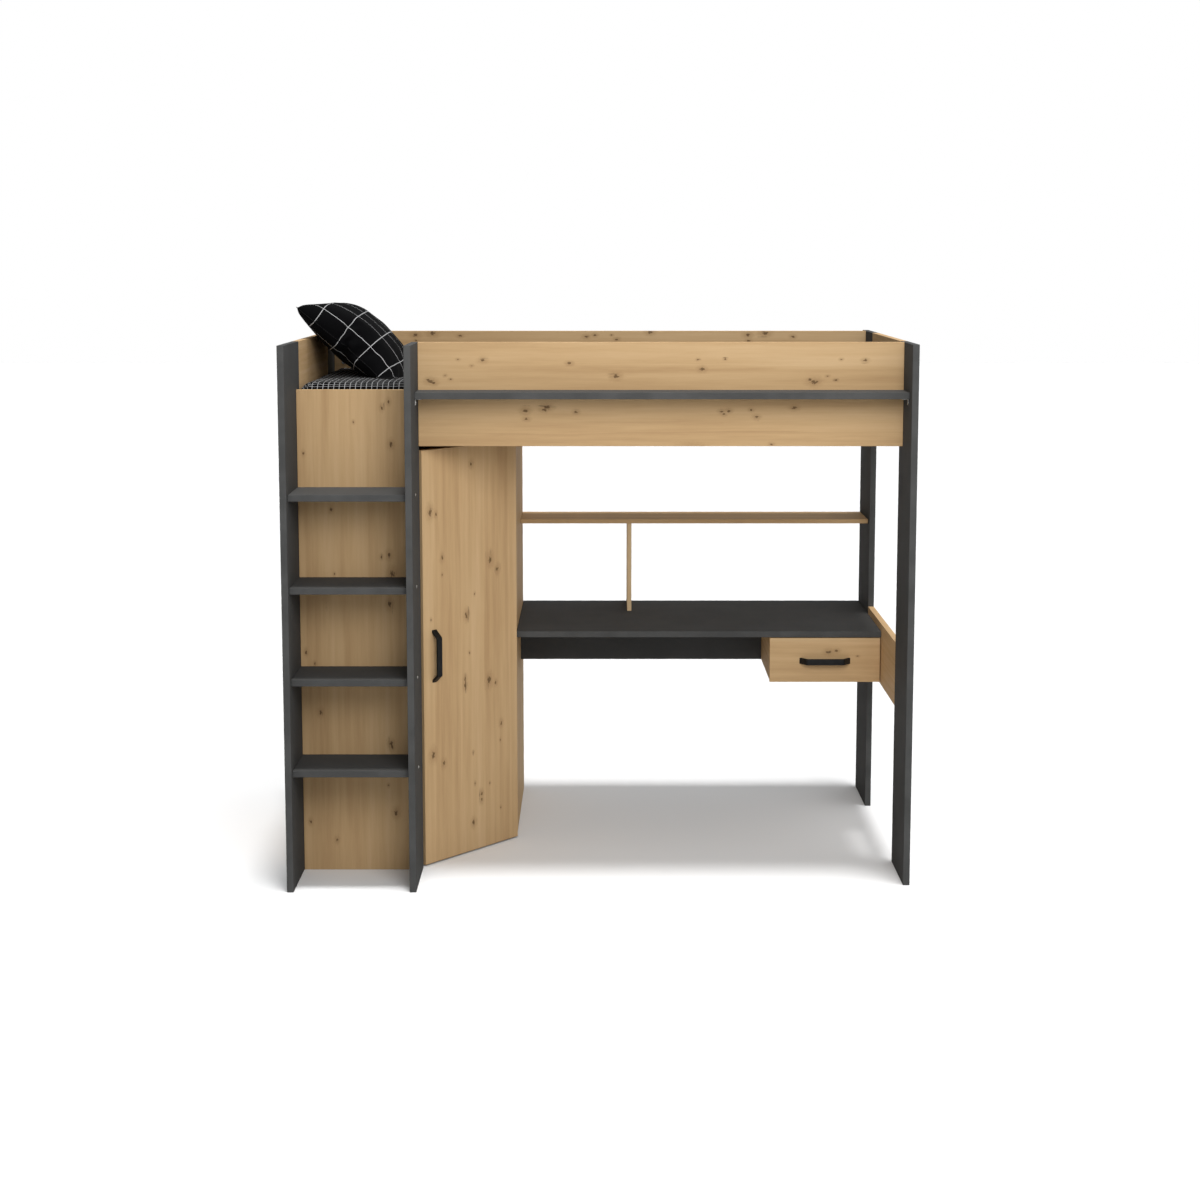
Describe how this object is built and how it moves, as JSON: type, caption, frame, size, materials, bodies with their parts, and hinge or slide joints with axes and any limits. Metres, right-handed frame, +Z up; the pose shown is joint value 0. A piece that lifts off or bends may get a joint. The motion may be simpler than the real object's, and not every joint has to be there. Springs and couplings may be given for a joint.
{
  "type": "loft bed with desk",
  "caption": "High sleeper bed in oak and anthracite boards, with steps at one end, a slanted-door corner wardrobe, a desk with shelf and drawer below, mattress and pillow.",
  "frame": {"origin": "on the floor, at the centre of the outer box", "axes": "+X along the bed towards the drawer end, +Y from the front to the wall side, +Z up"},
  "size_m": [2.0458, 1.2656, 1.9154],
  "materials": {
    "oak_board": "melamine-faced board printed as knotty oak, satin, with matching edging",
    "anthracite_board": "melamine-faced board in plain anthracite, satin, fine pressed texture",
    "slat_wood": "planed pine, unvarnished",
    "zinc_steel": "zinc or nickel plated steel",
    "runner_steel": "galvanised runner steel",
    "black_handle": "matt black powder coat",
    "mattress_cover": "black cotton sheet with a fine white check",
    "pillow_case": "black cotton with a wide white check"
  },
  "bodies": {
    "frame": {"step_back_panel": "oak_board", "bed_rail_front": "oak_board", "guard_rail_front": "oak_board", "bed_rail_back": "oak_board", "guard_rail_back": "oak_board", "end_panel_left": "oak_board", "end_panel_right": "oak_board", "desk_end_panel": "oak_board", "desk_shelf": "oak_board", "desk_shelf_divider": "oak_board", "drawer_housing_left": "oak_board", "drawer_housing_right": "oak_board", "wardrobe_side_left": "oak_board", "wardrobe_side_right": "oak_board", "wardrobe_back": "oak_board", "wardrobe_shelf": "oak_board", "step_side_outer": "anthracite_board", "step_side_inner": "anthracite_board", "post_front_right": "anthracite_board", "post_back_right": "anthracite_board", "post_back_left": "anthracite_board", "step_1": "anthracite_board", "step_2": "anthracite_board", "step_3": "anthracite_board", "step_4": "anthracite_board", "front_shelf": "anthracite_board", "desktop": "anthracite_board", "desk_back_panel": "anthracite_board", "slat_bearer_front": "slat_wood", "slat_bearer_back": "slat_wood", "slat_roll": "slat_wood", "step_screw_1": "zinc_steel", "step_screw_2": "zinc_steel", "step_screw_3": "zinc_steel", "step_screw_4": "zinc_steel", "shelf_bracket_left": "zinc_steel", "shelf_bracket_right": "zinc_steel", "rail_socket_left": "zinc_steel", "rail_socket_right": "zinc_steel", "hanging_rail": "zinc_steel", "hinge_arm_1": "zinc_steel", "hinge_arm_2": "zinc_steel", "hinge_arm_3": "zinc_steel", "runner_fixed_left": "runner_steel", "runner_fixed_right": "runner_steel", "mattress": "mattress_cover", "pillow": "pillow_case"},
    "door": {"wardrobe_door": "oak_board", "door_handle": "black_handle", "hinge_cup_1": "zinc_steel", "hinge_cup_2": "zinc_steel", "hinge_cup_3": "zinc_steel"},
    "drawer": {"drawer_front": "oak_board", "drawer_side_left": "oak_board", "drawer_side_right": "oak_board", "drawer_back": "oak_board", "drawer_bottom": "oak_board", "drawer_handle": "black_handle", "runner_moving_left": "runner_steel", "runner_moving_right": "runner_steel"}
  },
  "joints": [
    {"name": "door_hinge", "type": "hinge", "parent": "frame", "child": "door", "pos_m": [-0.294, -0.034, 0], "axis": [0, 0, 1], "range_deg": [0, 100]},
    {"name": "drawer_slide", "type": "slide", "parent": "frame", "child": "drawer", "axis": [0, -1, 0], "range_m": [0, 0.25]}
  ]
}
